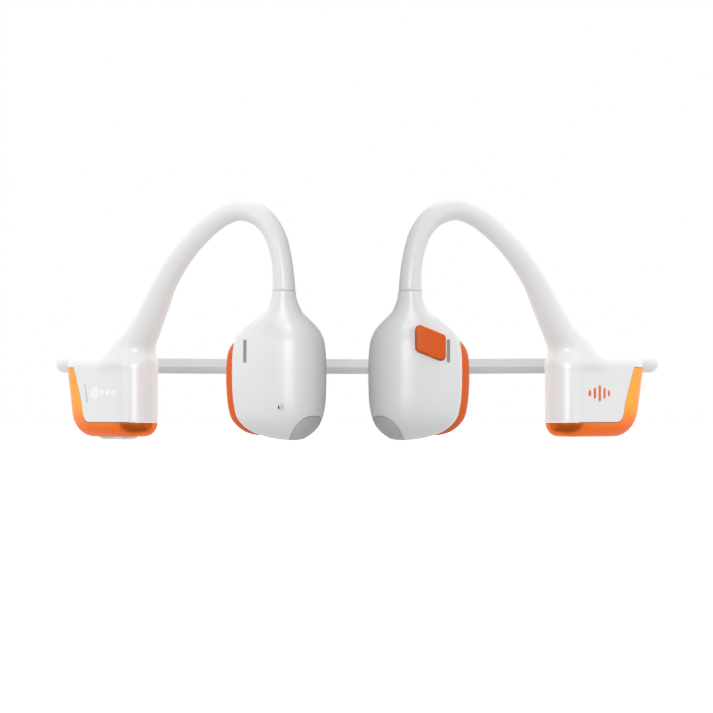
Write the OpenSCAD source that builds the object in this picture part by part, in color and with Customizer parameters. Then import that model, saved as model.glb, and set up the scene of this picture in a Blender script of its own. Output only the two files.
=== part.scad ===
// Open-ear bone conduction headphones with a neckband, in their relaxed shape.
// +X is the wearer's left, -Y is the front where the sound units hang, +Z is up.
// Every side piece is drawn for the +X side and mirrored for the -X side.

/* [Neckband] */
// Half of the widest distance between the two sides of the band, to its centre line
band_half_w = 62.3; // [58:0.1:66]
// Distance from the widest place of the band back to its rearmost centre line
band_back = 37.1; // [32:0.1:44]
// Height of the band's cross-section
band_h = 3.4; // [3:0.1:4]
// Thickness of the band's cross-section
band_t = 2.6; // [2.4:0.1:3]
// Height of the band's centre line over the table
band_z = 16.15; // [15.9:0.05:16.3]
// Place of the flexing line on the band, as an angle from the side
band_hinge_deg = 55; // [50:1:60]

/* [Housings] */
// Thickness of each housing across its two broad faces
house_t = 9.3; // [9:0.1:10]
// Height of the housings' top edge over the table
house_top = 17.8; // [17.4:0.1:18.2]
// Clearance of the housings' bottom edge over the table
house_low = 0.6; // [0.5:0.1:0.8]
// Wall thickness of the housing shells
house_wall = 1.1; // [1:0.1:1.3]

/* [Sound units] */
// Turn of each sound unit towards the middle, in degrees
unit_turn = 17.5; // [15:0.5:20]
// Distance of each sound unit's centre from the middle plane
unit_x = 14.05; // [14:0.05:15]
// Wall thickness of the front shells
unit_wall = 1.1; // [1:0.1:1.2]
// Depth of the skin pads
pad_depth = 5.8; // [5.6:0.1:6.2]

/* [Controls] */
// Length of each volume key
key_l = 6.5; // [5.5:0.1:6.8]
// Width of the volume keys
key_w = 4; // [3.5:0.1:4.4]

/* [Hidden] */
$fn = 48;

// Colours
WHITE = [0.93, 0.94, 0.94];
GREY = [0.78, 0.79, 0.8];
ORANGE = [0.93, 0.4, 0.13];
DARK = [0.2, 0.2, 0.22];
METAL = [0.72, 0.72, 0.74];
COPPER = [0.8, 0.5, 0.25];
GREEN = [0.1, 0.4, 0.25];

// Gap left between pieces that move past each other
gap = 0.3;
// Height of a sliver that keeps neighbouring faces from sharing a plane
eps = 0.05;

// ---- Curves ----

// Catmull-Rom blend of four values
function cr(a, b, c, d, t) =
    0.5 * (2 * b + (c - a) * t + (2 * a - 5 * b + 4 * c - d) * t * t
    + (3 * b - a - 3 * c + d) * t * t * t);
// Value at parameter t on a curve through a list of rows, where t counts the rows
function on_curve(rows, t) =
    let (n = len(rows) - 1, i = min(floor(t), n - 1), f = t - i)
    cr(i > 0 ? rows[i - 1] : 2 * rows[0] - rows[1], rows[i], rows[i + 1],
        i < n - 1 ? rows[i + 2] : 2 * rows[n] - rows[n - 1], f);
function unit(v) = v / norm(v);
// Rounded rectangle outline, half sizes a and b and corner radius r, k points a corner
function round_rect(a, b, r, k) = [
    for (q = [0:3], i = [0:k - 1])
    let (
        t = 90 * q + 90 * i / (k - 1),
        sx = (q == 0 || q == 3) ? 1 : -1,
        sy = q < 2 ? 1 : -1
    )
    [sx * (a - r) + r * cos(t), sy * (b - r) + r * sin(t)]
];
// Ellipse outline with n points
function oval(a, b, n) = [for (i = [0:n - 1]) [a * cos(360 * i / n), b * sin(360 * i / n)]];
// An outline placed in space at c, with its own directions e1 and e2
function ring(c, e1, e2, outline) = [for (p = outline) c + p[0] * e1 + p[1] * e2];

// Closed skin over a list of rings with the same number of points
module loft(rings) {
    m = len(rings);
    n = len(rings[0]);
    points = [for (r = rings) each r];
    sides = [
        for (j = [0:m - 2], i = [0:n - 1])
        let (a = j * n + i, b = j * n + (i + 1) % n)
        each [[a, b, b + n], [a, b + n, a + n]]
    ];
    first = [for (i = [n - 1:-1:0]) i];
    last = [for (i = [0:n - 1]) (m - 1) * n + i];
    polyhedron(points, [for (f = concat([first, last], sides)) [for (k = [len(f) - 1:-1:0]) f[k]]]);
}

module mirrored() { mirror([1, 0, 0]) children(); }

// ---- Neckband ----

band_y = 12;
function band_pt(q) = [band_half_w * cos(q), band_y + band_back * sin(q), band_z];
function band_out(q) = unit([cos(q) / band_half_w, sin(q) / band_back, 0]);
hinge_half_deg = 0.2;

module band_loft(from, to, steps, outline) {
    loft([
        for (i = [0:steps])
        let (q = from + (to - from) * i / steps)
        ring(band_pt(q), [0, 0, 1], band_out(q), outline)
    ]);
}
module band_run(from, to, steps) {
    band_loft(from, to, steps, round_rect(band_h / 2, band_t / 2, 1.1, 4));
}
module band_wire_run(from, to, steps) {
    band_loft(from, to, steps, oval(0.55, 0.55, 8));
}
module band_channel(from, to, steps) {
    band_loft(from, to, steps, oval(0.65, 0.65, 8));
}
module band_skin() {
    color(GREY) difference() {
        band_run(band_hinge_deg + hinge_half_deg, 180 - band_hinge_deg - hinge_half_deg, 20);
        band_channel(band_hinge_deg - 2, 182 - band_hinge_deg, 20);
    }
}
module band_wire() {
    color(METAL) band_wire_run(band_hinge_deg + 0.4, 179.6 - band_hinge_deg, 20);
}

// ---- Housing ----

// The housing follows a gentle arc from its rear end towards the front
tail = [57.3, 1.5];
tail_head = 76;
nose_head = 49;
house_l = 28.4;
curve_rad = (tail_head - nose_head) / house_l * PI / 180;
function house_head(s) = tail_head - (tail_head - nose_head) * s / house_l;
function house_pt(s) = [
    tail[0] - (sin(tail_head) - sin(house_head(s))) / curve_rad,
    tail[1] - (cos(house_head(s)) - cos(tail_head)) / curve_rad
];
function house_out(s) = [sin(house_head(s)), -cos(house_head(s)), 0];
// A point beside the housing's arc: s along it, out across it, z up
function house_at(s, out, z) =
    let (c = house_pt(s))
    [c[0], c[1], z] + out * house_out(s);

// Long rounded rise of the bottom edge towards the tail
tail_rise = 13;
tail_run = 13.3;
function house_bottom(s) =
    let (q = max(0, 1 - max(s, 0) / tail_run))
    house_low + tail_rise * (1 - sqrt(1 - q * q));
nose_r = 4.4;
// Shrinking of the section in the rounded nose
function nose_share(s) =
    let (e = max(0, (s - house_l) / nose_r))
    sqrt(1 - min(e * e, 0.999));
// Half thickness of the tail's end, and the length over which the housing gets its full thickness
tail_half = 2.4;
tail_grow = 10;
function house_half(s) =
    tail_half + (house_t / 2 - tail_half) * sin(90 * min(max(s, 0) / tail_grow, 1));

// Places along the housing where its sections are drawn, the last five round the nose
house_stations = [
    0, 0.7, 1.6, 2.8, 4.4, 6.5, 9, 12, 15, 18, 21, 25,
    house_l, house_l + 0.4 * nose_r, house_l + 0.7 * nose_r, house_l + 0.9 * nose_r,
    house_l + 0.98 * nose_r
];
// Skin of the housing, pulled in by a wall
module house_form(wall) {
    loft([
        for (s = house_stations)
        let (
            st = s == 0 ? wall : min(s, house_l + nose_r - 0.1 - wall),
            e = nose_share(min(s, house_l + nose_r - 0.1)),
            half = (house_half(s) - wall) * (0.12 + 0.88 * e),
            low = house_bottom(max(st - wall, 0)) + wall + 1.5 * (1 - e),
            high = house_top - wall - 1.5 * (1 - e),
            tall = max((high - low) / 2, 0.6)
        )
        ring(house_at(st, 0, high - tall), house_out(s), [0, 0, 1],
            round_rect(half, tall, min(half, tall, 3.1) * 0.94, 5))
    ]);
}
// Region of the L-shaped cover, seen square to the housing's broad face
cover_rise = 3.6;
cover_top = 15.1;
// Width of its rear strip at the top, and how far that edge leans forward on its way down
cover_in = 9.8;
cover_lean = 3.8;
cover_r = 3.3;
// Reach of a cut that runs clear of the housing
far = 24;
module cover_region(grow) {
    mid = house_l / 2;
    c = house_pt(mid);
    translate([c[0], c[1], 0])
        rotate([90, 0, house_head(mid)])
        linear_extrude(2 * far, center = true) polygon(concat(
            [[-far, -1], [far, -1], [far, cover_top + grow], [mid - cover_in - grow, cover_top + grow]],
            [for (i = [0:6]) let (t = 90 * i / 6) [
                mid - cover_in - cover_lean - cover_r * (1 - cos(t)) - grow,
                cover_rise + cover_r * (1 - sin(t)) + grow
            ]],
            [[-far, cover_rise + grow]]
        ));
}

// Rows along the moulded boss behind the housing: x, y, half thickness, half height
boss_rows = [
    [58, 2, 2.3, 1.9], [60.6, 4.2, 2.3, 1.95], [62.5, 7.2, 2.1, 1.95],
    [62.8, 10, 1.75, 1.9], [62.4, 13.5, 1.5, 1.8]
];
module arm_boss_form() {
    stations = [0, 1, 2, 3, 4, 5];
    loft([
        for (i = stations)
        let (
            p = on_curve(boss_rows, i * (len(boss_rows) - 1) / 5),
            q = on_curve(boss_rows, min(i * (len(boss_rows) - 1) / 5 + 0.05, len(boss_rows) - 1)),
            r = on_curve(boss_rows, max(i * (len(boss_rows) - 1) / 5 - 0.05, 0)),
            fwd = unit([q[0] - r[0], q[1] - r[1], 0])
        )
        ring([p[0], p[1], band_z], [-fwd[1], fwd[0], 0], [0, 0, 1], oval(p[2], p[3], 16))
    ]);
}

module side_band_skin() {
    color(GREY) difference() {
        union() {
            band_run(0, band_hinge_deg - hinge_half_deg, 12);
            arm_boss_form();
        }
        band_channel(4, band_hinge_deg + 2, 12);
        house_form(0);
    }
}
module side_band_wire() {
    color(METAL) band_wire_run(4.3, band_hinge_deg - 0.4, 12);
}

// ---- Hook ----

// Rows along the hook: x, y, z of its centre, half width along its plane, half thickness
hook_rows = [
    [46.6, -20.4, 17.85, 5.2, 4.3],
    [45.1, -22.2, 19, 4.2, 4.1],
    [43.6, -23.9, 20.8, 3.7, 3.75],
    [42.3, -25.2, 22.9, 3.35, 3.4],
    [40.1, -27.6, 27.6, 2.75, 2.8],
    [37.8, -30.2, 32.4, 2.4, 2.45],
    [34.7, -32.9, 37.1, 2.25, 2.3],
    [31.6, -35.2, 40.7, 2.2, 2.2],
    [28.2, -37.4, 43.8, 2.2, 2.2],
    [24.8, -39.4, 45.9, 2.2, 2.2],
    [21.2, -41.3, 46.6, 2.2, 2.2],
    [17.2, -43.2, 44.9, 2.2, 2.2],
    [14.6, -44.6, 41.4, 2.15, 2.2],
    [13.3, -45.4, 37, 2.1, 2.15],
    [12.8, -45.9, 33, 2.2, 2.15],
    [12.7, -46, 30, 2.4, 2.2]
];
hook_end = len(hook_rows) - 1;
// Place of the flexing line on the hook, in rows
hook_hinge = 9.25;
// Last row whose section is still turning from level to square with the hook
hook_level_end = 3;
// Part of a row step left open between the hook's two stretches
hook_gap = 0.04;
wire_r = 0.6;
channel_r = 0.75;
function hook_pt(t) = let (r = on_curve(hook_rows, t)) [r[0], r[1], r[2]];
function hook_dir(t) = unit(hook_pt(min(t + 0.02, hook_end)) - hook_pt(max(t - 0.02, 0)));
// Heading of the hook's curved surface in plan, from -X towards -Y
function hook_head(t) = t < 1 ? 52 : t > 12 ? 22 : 52 - 30 * (t - 1) / 11;
function hook_out(t) = [sin(hook_head(t)), -cos(hook_head(t)), 0];
function hook_normal(t) =
    let (w = min(t / hook_level_end, 1), v = t > hook_end - 1 ? [0, 0, -1] : hook_dir(t))
    unit((1 - w) * [0, 0, 1] + w * v);
function hook_ring(t, a, b, n) =
    let (side = unit(cross(hook_out(t), hook_normal(t))))
    ring(hook_pt(t), side, unit(cross(hook_normal(t), side)), oval(a, b, n));

module hook_run(from, to, steps) {
    loft([
        for (i = [0:steps])
        let (t = from + (to - from) * i / steps, r = on_curve(hook_rows, t))
        hook_ring(t, r[3], r[4], 16)
    ]);
}
// Centre line of the wire on the arm's side, down to a foot inside the housing
function level_ring(t, z, radius) =
    let (c = hook_pt(t), side = unit(cross(hook_out(t), [0, 0, 1])))
    ring([c[0], c[1], z], side, unit(cross([0, 0, 1], side)), oval(radius, radius, 8));
module arm_core(to, foot, radius) {
    from = 1.6;
    loft(concat(
        [level_ring(1, foot, radius), level_ring(1, house_top + 0.4, radius)],
        [for (i = [0:16]) hook_ring(from + (to - from) * i / 16, radius, radius, 8)]
    ));
}
// The same on the unit's side, with a straight end inside the neck of the front shell
module unit_core(from, drop, radius) {
    last = hook_ring(hook_end, radius, radius, 8);
    loft(concat(
        [for (i = [0:13]) hook_ring(from + (hook_end - from) * i / 13, radius, radius, 8)],
        [[for (p = last) p - [0, 0, drop]]]
    ));
}
module hook_skin() {
    color(WHITE) difference() {
        hook_run(0, hook_hinge - hook_gap, 20);
        arm_core(hook_hinge + 0.3, house_top - 1, channel_r);
    }
}
module hook_wire() {
    color(METAL) arm_core(hook_hinge - 2 * hook_gap, house_top - 5, wire_r);
}
module unit_hook_skin() {
    color(WHITE) difference() {
        hook_run(hook_hinge + hook_gap, hook_end, 13);
        unit_core(hook_hinge - 0.3, 1, channel_r);
    }
}
module unit_hook_wire() {
    color(METAL) unit_core(hook_hinge + 2 * hook_gap, neck_drop, wire_r);
}

// ---- Sound units ----

unit_y = -44.3;
// Length of the hook wire's end inside the neck
neck_drop = 4;
driver_z = 11.4;
// Shift of the driver's stack back into the pad's depth
driver_y = 3.9;
speaker_z = 19.7;
// In a unit's own frame -Y is its front face and +X is its outer side
module in_unit() { translate([unit_x, unit_y, 0]) rotate([0, 0, -unit_turn]) children(); }

// Rows up a front shell: z, centre x, half width, front y, back y
shell_rows = [
    [0.05, -2.4, 1.3, -3.3, -0.8],
    [0.7, -1.6, 4.1, -4.7, 0.2],
    [1.7, -0.9, 6.2, -5.3, 0.6],
    [2.9, -0.5, 7.65, -5.75, 0.7],
    [4.1, -0.2, 8.45, -6, 0.7],
    [5.3, -0.1, 8.95, -6.15, 0.7],
    [7.7, -0.05, 9.4, -6.3, 0.7],
    [13, 0, 9.65, -6.3, 0.7],
    [17.3, 0, 9.55, -6.2, 0.7],
    [19.8, -0.05, 9.2, -6, 0.7],
    [21, -0.1, 8.75, -5.8, 0.7],
    [22.2, -0.25, 7.95, -5.6, 0.7],
    [23.4, -0.35, 6.8, -5.4, 0.7],
    [24.6, -0.45, 5.4, -5.1, 0.65],
    [25.8, -0.6, 4, -4.85, 0.5],
    [27, -0.75, 3.2, -4.6, 0.35],
    [28.5, -0.78, 2.6, -4.35, 0.2],
    [30, -0.78, 2.4, -4.2, 0.15]
];
// Height at which the sections start to round towards the neck, and where they are round
neck_from = 20;
neck_to = 28.5;
// Points round a section, and the exponents of its rounded front and its crisp back
shell_n = 28;
shell_front = 0.8;
shell_back = 0.3;
function bend(v, e) = sign(v) * pow(abs(v), e);
// Outline of a section: half width a, half depth b; share is 1 in the body and 0 in the neck
function shell_outline(a, b, share) = [
    for (i = [0:shell_n - 1])
    let (
        t = 360 * (i + 0.5) / shell_n,
        e = 1 + ((sin(t) < 0 ? shell_front : shell_back) - 1) * share
    )
    [a * bend(cos(t), e), b * bend(sin(t), e)]
];
// Section of the front shell at a row, pulled in by a wall and lengthened behind
function shell_ring(r, wall, more) =
    let (
        front = r[3] + wall,
        half_y = (r[4] + more - front) / 2,
        share = 1 - min(max((r[0] - neck_from) / (neck_to - neck_from), 0), 1)
    )
    ring([r[1], front + half_y, r[0]], [1, 0, 0], [0, 1, 0], shell_outline(r[2] - wall, half_y, share));
// The slanted facet's own frame: -Y points straight out of it and +X along it, away from the ridge
facet_turn = 27.5;
facet_at = [4, -3.5];
module on_facet() { translate([facet_at[0], facet_at[1], 0]) rotate([0, 0, facet_turn]) children(); }
// All that lies in front of the facet, moved back by a wall
module before_facet(wall) {
    on_facet() translate([-far, wall - far, -far]) cube([2 * far, far, 3 * far]);
}
module shell_form() {
    difference() {
        loft([for (r = shell_rows) shell_ring(r, 0, 0)]);
        before_facet(0);
    }
}
module shell_room() {
    difference() {
        loft([for (r = shell_rows) if (r[0] > 2 && r[0] < 24) shell_ring(r, unit_wall, 1)]);
        before_facet(unit_wall);
    }
}
slot_w = 0.7;
slot_l = 4.8;
slot_at = [7.22, -2, 17.9];
// Depth at which the mesh sits in the slot, and its thickness
slot_deep = 0.5;
mesh_t = 0.5;
module slot_cut(w, l, from, to) {
    translate(slot_at) rotate([0, 0, unit_turn])
        translate([-w / 2, from, -l / 2]) cube([w, to - from, l]);
}
vent_r = 4.5;
vent_at = [-6.1, 0.4];
module vent_region(r) {
    translate([vent_at[0], 2, vent_at[1]]) rotate([90, 0, 0]) cylinder(r = r, h = 12);
}
// Outline of the multifunction button: a slanted rounded block
button_half = 2.05;
button_tall = 1.72;
button_slope = 0.4;
button_r = 0.95;
button_z = 19.5;
button_proud = 1.1;
button_in = 0.9;
button_gap = 0.1;
module button_outline(grow) {
    hull() for (sx = [-1, 1], sz = [-1, 1])
        translate([sx * button_half, sz * button_tall - sx * button_half * button_slope])
            circle(r = button_r + grow, $fn = 24);
}
// A block square to the facet over the button's outline
module button_block(grow, from, to) {
    on_facet() translate([0, to, button_z]) rotate([90, 0, 0])
        linear_extrude(to - from) button_outline(grow);
}
// Dome switch under the button: its distance behind the button and its size
dome_gap = 0.45;
dome = [2.6, 0.8, 2.4];
mic_at = [0.6, 6.7];
mic_r = 0.6;
mic_y = -4;
mic_l = 1;
module front_shell_body() {
    difference() {
        shell_form();
        shell_room();
        slot_cut(slot_w, slot_l, -2, 2);
        vent_region(vent_r + eps);
        translate([-0.78, -2.03, 29.5 - neck_drop]) cylinder(r = channel_r, h = neck_drop + 1);
    }
}
module left_front_shell() {
    color(WHITE) difference() {
        in_unit() front_shell_body();
        in_unit() button_block(button_gap, -4, 2);
    }
}
module right_front_shell() {
    color(WHITE) difference() {
        in_unit() front_shell_body();
        in_unit() translate([mic_at[0], mic_y + 0.4, mic_at[1]]) rotate([90, 0, 0])
            cylinder(r = mic_r + eps, h = 4);
    }
}
module slot_mesh() {
    color(DARK) in_unit() slot_cut(slot_w - 2 * eps, slot_l - 2 * eps, slot_deep, slot_deep + mesh_t);
}
module vent_mesh() {
    color(GREY) in_unit() intersection() {
        difference() {
            shell_form();
            shell_room();
        }
        vent_region(vent_r);
    }
}
// Half outline of a skin pad: height and half width
pad_edge = [
    [1.6, 4.6], [2.4, 6.5], [3.6, 8], [5.4, 9], [8, 9.5], [12, 9.7],
    [16, 9.6], [18.5, 9.1], [20.2, 7.8], [21.3, 5.6]
];
pad_mid = 11.1;
// Depth steps of a pad: distance back and the share of the full outline
pad_steps = [[0.75, 0.985], [1.3, 1], [4.2, 0.965], [5.7, 0.91], [6.4, 0.82]];
pad_first = 0.75;
pad_stretch = pad_depth / 5.8;
function pad_outline(share, wall) = concat(
    [for (p = pad_edge) [p[1] * share - wall, (p[0] - pad_mid) * (share - wall / 10)]],
    [for (i = [len(pad_edge) - 1:-1:0])
        [wall - pad_edge[i][1] * share, (pad_edge[i][0] - pad_mid) * (share - wall / 10)]]
);
module pad_form(steps, wall, reach) {
    loft([
        for (p = steps)
        ring([0, pad_first + (p[0] - pad_first) * pad_stretch + reach, pad_mid], [1, 0, 0], [0, 0, 1],
            [for (k = pad_outline(p[1], wall)) [-k[0], k[1]]])
    ]);
}
module skin_pad() {
    color(ORANGE) in_unit() difference() {
        pad_form(pad_steps, 0, 0);
        pad_form([for (i = [0:3]) pad_steps[i]], 1, -eps);
    }
}
// Inner frame: its ends across the unit, its lowest edge and height, its front and thickness
frame_x = [-7.2, 6.9];
frame_low = 4.7;
frame_h = 15.3;
frame_y = -0.2;
frame_t = 0.8;
frame_hole_r = 6.2;
// Air speaker: its size and place, and the clearance of the frame's notch round it
speaker = [8.2, 2.2, 3];
speaker_at = [-5.6, -1.6];
speaker_gap = 0.2;
module inner_frame() {
    color(GREY) in_unit() difference() {
        translate([frame_x[0], frame_y, frame_low]) cube([frame_x[1] - frame_x[0], frame_t, frame_h]);
        translate([0, 2, driver_z]) rotate([90, 0, 0]) cylinder(r = frame_hole_r, h = 4);
        translate([speaker_at[0] - speaker_gap, -2, speaker_z - speaker[2] / 2 - speaker_gap])
            cube([speaker[0] + 2 * speaker_gap, 4, speaker[2] + 2 * speaker_gap]);
    }
}
module disc(r, from, to) {
    translate([0, driver_y + to, driver_z]) rotate([90, 0, 0]) cylinder(r = r, h = to - from);
}
// Bone driver: radii and depths of the coil, the yoke round it, the magnet and the spring plate
coil_r = 4.6;
coil_in = 4;
coil_y = [-3, 0.2];
yoke_r = 5.8;
yoke_in = 5;
yoke_y = [-4.4, -0.9];
yoke_floor = 0.8;
magnet_r = 3.6;
magnet_to = -1.2;
spring_r = 6.2;
spring_hole = 1.2;
spring_y = [0.25, 0.5];
spring_slot = [2.4, 3, 1];
module driver_coil() {
    color(COPPER) in_unit() difference() {
        disc(coil_r, coil_y[0], coil_y[1]);
        disc(coil_in, coil_y[0] - 1, coil_y[1] + 1);
    }
}
module driver_spring() {
    color(METAL) in_unit() difference() {
        disc(spring_r, spring_y[0], spring_y[1]);
        disc(spring_hole, 0, 1);
        for (a = [0:120:240]) translate([0, driver_y, driver_z]) rotate([0, a, 0])
            translate([spring_slot[0], -0.5, -spring_slot[2] / 2]) cube([spring_slot[1], 2, spring_slot[2]]);
    }
}
module driver_yoke() {
    color(METAL) in_unit() difference() {
        disc(yoke_r, yoke_y[0], yoke_y[1]);
        disc(yoke_in, yoke_y[0] + yoke_floor, 0);
    }
}
module driver_magnet() {
    color(DARK) in_unit() disc(magnet_r, yoke_y[0] + yoke_floor, magnet_to);
}
module air_speaker() {
    color(DARK) in_unit() translate([speaker_at[0], speaker_at[1], speaker_z - speaker[2] / 2]) cube(speaker);
}
module multifunction_button() {
    color(ORANGE) in_unit() button_block(0, -button_proud, button_in);
}
module button_switch() {
    color(DARK) in_unit() on_facet()
        translate([-dome[0] / 2, button_in + dome_gap, button_z - dome[2] / 2]) cube(dome);
}
module front_microphone() {
    color(DARK) in_unit() translate([mic_at[0], mic_y, mic_at[1]]) rotate([90, 0, 0])
        cylinder(r = mic_r, h = mic_l);
}

// ---- Inside the housings ----

// In the housing's own frame +X runs to the nose, +Y is outward and X = 0 is at s along the arc
module along_house(s) {
    c = house_pt(s);
    translate([c[0], c[1], 0]) rotate([0, 0, 180 + house_head(s)]) children();
}
module in_house() { along_house(house_l / 2) children(); }

// Centre of the two volume keys along the arc, the gap between them and their size inside
keys_s = 21.6;
key_gap = 0.4;
key_top = 2.7;
flange_w = 0.45;
flange_h = 0.4;
switch_rise = 0.5;
// Dome switches over the keys: their side and height, and the small board they sit on
switch_side = 2.6;
switch_h = 0.6;
switch_board = [3, 0.3];
// USB-C opening: centre, width and height
usb_at = [4, 9.6];
usb_w = 8.94;
usb_h = 3.2;
usb_from = -4.4;
usb_l = 6.2;
usb_wall = 0.3;
gasket_w = 0.8;
gasket_y = [0.1, 0.9];
// Status light: centre and lean of its window, which follows the cover's edge
light_lean = 21;
light_at = [1.9, 9.6];
light_w = 0.6;
light_l = 4.1;
light_gap = 0.08;
light_y = [2.65, 4.5];
// Main board: its ends along the housing, its inner face and thickness, its lowest edge and height
board_x = [-0.5, 8.5];
board_y = 1.85;
board_t = 0.7;
board_low = 5;
board_h = 10;
// Processor and power chip on the board: their sizes and lower rear corners
processor = [4.2, 0.9, 3];
processor_at = [0, 11.8];
power_chip = [3, 0.9, 2];
power_chip_at = [3, 5.4];
ambient_mic = [2.7, 1.1, 1.9];
ambient_mic_at = [5, 12];
board_screw_x = [0.4, 7.6];
board_screw_z = 6.4;
screw_r = 0.5;
screw_out = 0.3;
screw_head_r = 0.9;
screw_head_h = 0.6;
// Battery: its ends along the housing, its thickness, lowest edge and height
battery_x = [-6.2, 7.8];
battery_half = 2.7;
battery_low = 4.8;
battery_h = 9;
// Foam beside the battery: its offset from the battery's corner, and its size
foam_at = [2, 0.5];
foam = [10, 0.4, 8];
// Protection board over the battery
guard_at = [0.5, 0.2];
guard = [12, 4, 0.8];

module left_housing_shell() {
    color(WHITE) difference() {
        house_form(0);
        house_form(house_wall);
        cover_region(0);
        translate([hook_rows[1][0], hook_rows[1][1], house_top - 3]) cylinder(r = channel_r + eps, h = 4);
    }
}
module left_housing_cover() {
    color(ORANGE) difference() {
        intersection() {
            house_form(0);
            cover_region(-eps);
        }
        house_form(house_wall);
    }
}
// A block with rounded ends over the USB-C opening, grown by r
module usb_block(r, from, to) {
    hull() for (sx = [-1, 1]) translate([usb_at[0] + sx * (usb_w - usb_h) / 2, to, usb_at[1]])
        rotate([90, 0, 0]) cylinder(r = usb_h / 2 + r, h = to - from);
}
module light_block(shrink, to) {
    translate([light_at[0], 0, light_at[1]]) rotate([0, -light_lean, 0])
        translate([shrink - light_w / 2, light_y[0] + shrink, shrink - light_l / 2])
            cube([light_w - 2 * shrink, to - light_y[0] - shrink, light_l - 2 * shrink]);
}
module right_housing_shell() {
    color(WHITE) difference() {
        left_housing_shell();
        in_house() usb_block(gasket_w + eps, -house_t, -2);
        in_house() light_block(0, house_t);
    }
}
module key_block(x, l, w, low, high) {
    translate([x - l / 2, -w / 2, low]) cube([l, w, high - low]);
}
function key_x(side) = side * (key_l + key_gap) / 2;
module right_housing_cover() {
    color(ORANGE) difference() {
        left_housing_cover();
        along_house(keys_s) for (side = [-1, 1])
            key_block(key_x(side), key_l + gap, key_w + 2 * gap, -1, key_top + flange_h);
    }
}
module volume_key(side) {
    color(GREY) along_house(keys_s) union() {
        key_block(key_x(side), key_l - gap, key_w, 0, key_top);
        key_block(key_x(side), key_l - gap, key_w + 2 * flange_w, key_top, key_top + flange_h);
    }
}
module volume_switches() {
    low = key_top + flange_h + switch_rise;
    l = key_l + switch_side;
    color(DARK) along_house(keys_s) union() {
        for (side = [-1, 1]) key_block(key_x(side), switch_side, switch_side, low, low + switch_h);
        key_block(0, l, switch_board[0], low + switch_h, low + switch_h + switch_board[1]);
    }
}
module battery() {
    color(METAL) in_house() translate([battery_x[0], -battery_half, battery_low])
        cube([battery_x[1] - battery_x[0], 2 * battery_half, battery_h]);
}
module battery_foam() {
    color(DARK) in_house()
        translate([battery_x[0] + foam_at[0], -battery_half - foam[1], battery_low + foam_at[1]]) cube(foam);
}
module protection_board() {
    color(GREEN) in_house()
        translate([battery_x[0] + guard_at[0], -guard[1] / 2, battery_low + battery_h + guard_at[1]])
            cube(guard);
}
// A part on the inner face of the main board
module on_board(at, size) {
    translate([at[0], board_y - size[1], at[1]]) cube(size);
}
module main_board() {
    color(GREEN) in_house() difference() {
        union() {
            translate([board_x[0], board_y, board_low]) cube([board_x[1] - board_x[0], board_t, board_h]);
            on_board(processor_at, processor);
            on_board(power_chip_at, power_chip);
        }
        for (x = board_screw_x) translate([x, board_y + board_t + 1, board_screw_z]) rotate([90, 0, 0])
            cylinder(r = screw_r + eps, h = board_t + 2);
    }
}
module board_screws() {
    color(METAL) in_house() for (x = board_screw_x) union() {
        translate([x, board_y + board_t + screw_out, board_screw_z]) rotate([90, 0, 0])
            cylinder(r = screw_r, h = board_t + screw_out);
        translate([x, board_y, board_screw_z]) rotate([90, 0, 0])
            cylinder(r = screw_head_r, h = screw_head_h);
    }
}
module usb_receptacle() {
    color(METAL) in_house() translate([usb_at[0] - usb_w / 2, usb_from, usb_at[1] - usb_h / 2]) difference() {
        cube([usb_w, usb_l, usb_h]);
        translate([usb_wall, -1, usb_wall])
            cube([usb_w - 2 * usb_wall, usb_l, usb_h - 2 * usb_wall]);
    }
}
module usb_gasket() {
    color(DARK) in_house() difference() {
        usb_block(gasket_w, usb_from + gasket_y[0], usb_from + gasket_y[1]);
        translate([usb_at[0] - usb_w / 2 - eps, usb_from - 1, usb_at[1] - usb_h / 2 - eps])
            cube([usb_w + 2 * eps, 3, usb_h + 2 * eps]);
    }
}
module status_light_pipe() {
    color(WHITE) in_house() light_block(light_gap, light_y[1]);
}
module ambient_microphone() {
    color(METAL) in_house() on_board(ambient_mic_at, ambient_mic);
}

band_wire();
band_skin();
side_band_wire();  // left_band_wire
side_band_skin();  // left_band_skin
left_housing_shell();
left_housing_cover();
hook_skin();  // left_hook_skin
hook_wire();  // left_hook_wire
battery();
battery_foam();
protection_board();
mirrored() side_band_wire();  // right_band_wire
mirrored() side_band_skin();  // right_band_skin
mirrored() right_housing_shell();
mirrored() right_housing_cover();
mirrored() hook_skin();  // right_hook_skin
mirrored() hook_wire();  // right_hook_wire
mirrored() main_board();
mirrored() usb_receptacle();
mirrored() usb_gasket();
mirrored() status_light_pipe();
mirrored() ambient_microphone();
mirrored() volume_switches();
mirrored() board_screws();
mirrored() volume_key(1);  // volume_up_key
mirrored() volume_key(-1);  // volume_down_key
unit_hook_skin();  // left_unit_hook_skin
unit_hook_wire();  // left_unit_hook_wire
left_front_shell();
skin_pad();  // left_skin_pad
inner_frame();  // left_inner_frame
driver_coil();  // left_driver_coil
driver_spring();  // left_driver_spring
driver_yoke();  // left_driver_yoke
driver_magnet();  // left_driver_magnet
air_speaker();  // left_air_speaker
slot_mesh();  // left_slot_mesh
vent_mesh();  // left_vent_mesh
multifunction_button();
button_switch();
mirrored() unit_hook_skin();  // right_unit_hook_skin
mirrored() unit_hook_wire();  // right_unit_hook_wire
mirrored() right_front_shell();
mirrored() skin_pad();  // right_skin_pad
mirrored() inner_frame();  // right_inner_frame
mirrored() driver_coil();  // right_driver_coil
mirrored() driver_spring();  // right_driver_spring
mirrored() driver_yoke();  // right_driver_yoke
mirrored() driver_magnet();  // right_driver_magnet
mirrored() air_speaker();  // right_air_speaker
mirrored() slot_mesh();  // right_slot_mesh
mirrored() vent_mesh();  // right_vent_mesh
mirrored() front_microphone();
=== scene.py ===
"""Open-ear bone conduction headphones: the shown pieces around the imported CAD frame."""

from math import acos, atan2, cos, degrees, pi, radians, sin, sqrt

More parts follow.
